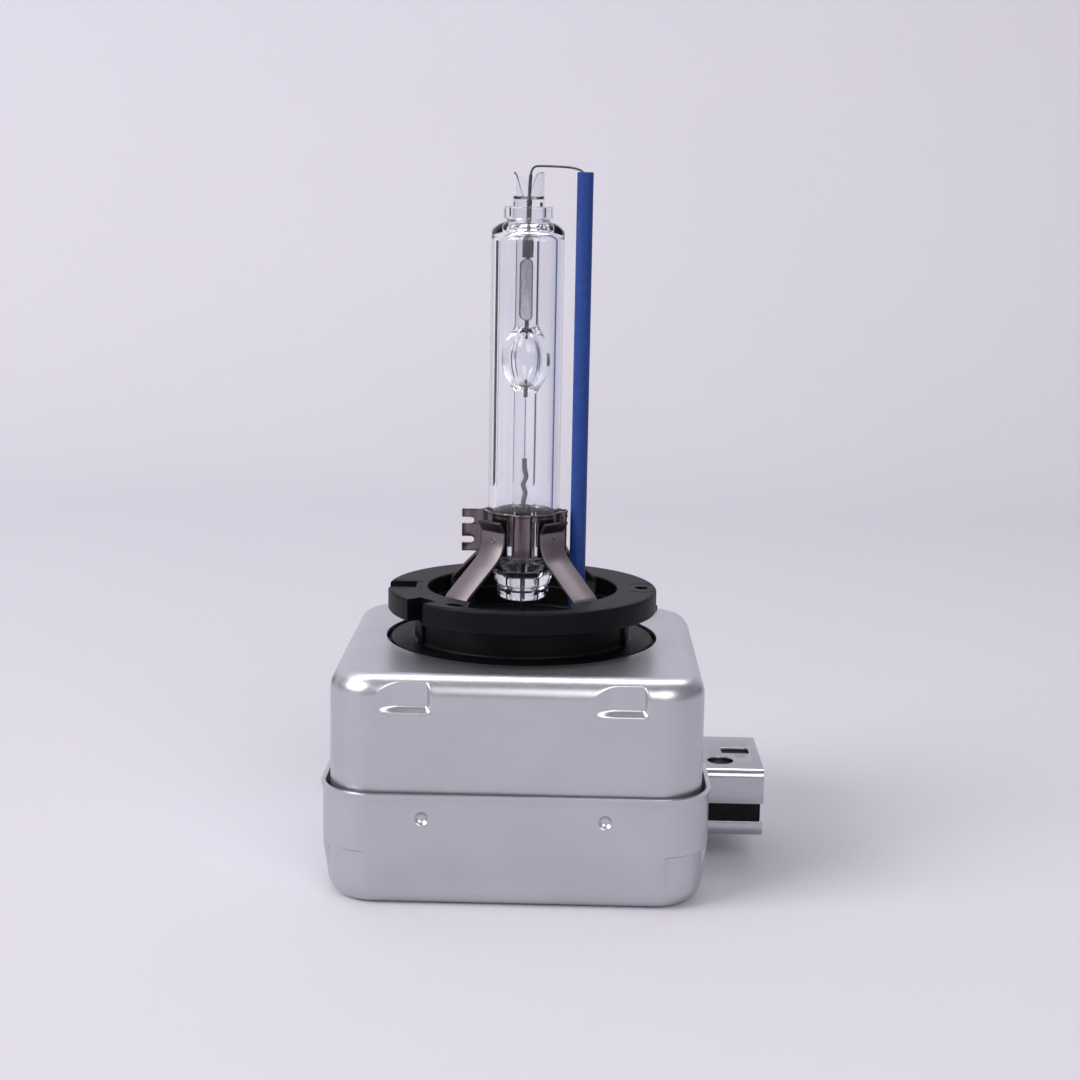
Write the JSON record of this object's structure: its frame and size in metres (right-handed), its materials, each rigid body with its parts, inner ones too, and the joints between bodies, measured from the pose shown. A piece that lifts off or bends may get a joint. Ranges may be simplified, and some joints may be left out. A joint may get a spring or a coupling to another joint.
{
  "type": "gas-discharge headlight bulb",
  "caption": "Gas-discharge headlight bulb: glass burner on a clamp with sprung legs, blue ceramic return tube, flanged black base and square metal igniter box with a side socket.",
  "frame": {"origin": "where the lamp axis meets the top of the locating flange, which is the lamp's reference plane", "axes": "+Z along the lamp axis from the base to the tip, +X towards the connector and the blue return tube, +Y to the back of the box"},
  "size_m": [0.0508, 0.0438, 0.0816],
  "materials": {
    "quartz_glass": "fire-polished clear quartz",
    "arc_tube_quartz": "fire-polished clear quartz",
    "halide_salt": "frozen salt film",
    "tungsten": "drawn tungsten rod",
    "molybdenum_foil": "rolled molybdenum foil",
    "lead_wire": "drawn nickel-plated wire",
    "blue_ceramic": "satin blue fired ceramic",
    "spring_steel": "bright rolled spring steel",
    "leg_steel": "satin rolled nickel steel",
    "base_plastic": "moulded glass-filled plastic",
    "contact_brass": "turned brass",
    "can_aluminium": "deep-drawn satin aluminium",
    "case_plastic": "moulded plastic, fine spark texture",
    "potting_resin": "cast resin, glossy skin",
    "bobbin_plastic": "moulded natural plastic",
    "ferrite": "ground ferrite",
    "copper_wire": "enamelled winding wire",
    "copper_strip": "enamelled copper strip",
    "gap_ceramic": "white alumina",
    "gap_metal": "tinned end caps",
    "capacitor_film": "dipped film block",
    "resistor_ceramic": "lacquered ceramic",
    "insulated_lead": "insulated wire",
    "lead_frame_bronze": "stamped bronze strip",
    "socket_plastic": "moulded plastic",
    "shield_steel": "bright tinned steel sheet",
    "pin_metal": "tinned bronze pin"
  },
  "bodies": {
    "root": {"outer_bulb": "quartz_glass", "arc_tube": "arc_tube_quartz", "halide_dose": "halide_salt", "upper_electrode": "tungsten", "lower_electrode": "tungsten", "upper_foil": "molybdenum_foil", "lower_foil": "molybdenum_foil", "upper_lead": "lead_wire", "lower_lead": "lead_wire", "return_wire": "lead_wire", "return_tube": "blue_ceramic", "clamp_band": "spring_steel", "leg_front_left": "leg_steel", "leg_front_right": "leg_steel", "leg_rear_left": "leg_steel", "leg_rear_right": "leg_steel", "leg_ring": "leg_steel", "base_body": "base_plastic", "hot_contact": "contact_brass", "return_terminal": "contact_brass", "upper_can": "can_aluminium", "lower_can": "can_aluminium", "igniter_case": "case_plastic", "potting_layer": "potting_resin", "coil_bobbin": "bobbin_plastic", "ferrite_core": "ferrite", "secondary_winding": "copper_wire", "primary_winding": "copper_strip", "spark_gap_tube": "gap_ceramic", "spark_gap_electrodes": "gap_metal", "ignition_capacitor": "capacitor_film", "bleeder_resistor": "resistor_ceramic", "high_voltage_lead": "insulated_lead", "supply_strip": "lead_frame_bronze", "return_strip": "lead_frame_bronze", "trigger_strip": "lead_frame_bronze", "gap_strip": "lead_frame_bronze", "connector_body": "socket_plastic", "upper_shield": "shield_steel", "lower_shield": "shield_steel", "supply_pin": "pin_metal", "return_pin": "pin_metal", "trigger_pin": "pin_metal"}
  },
  "joints": []
}
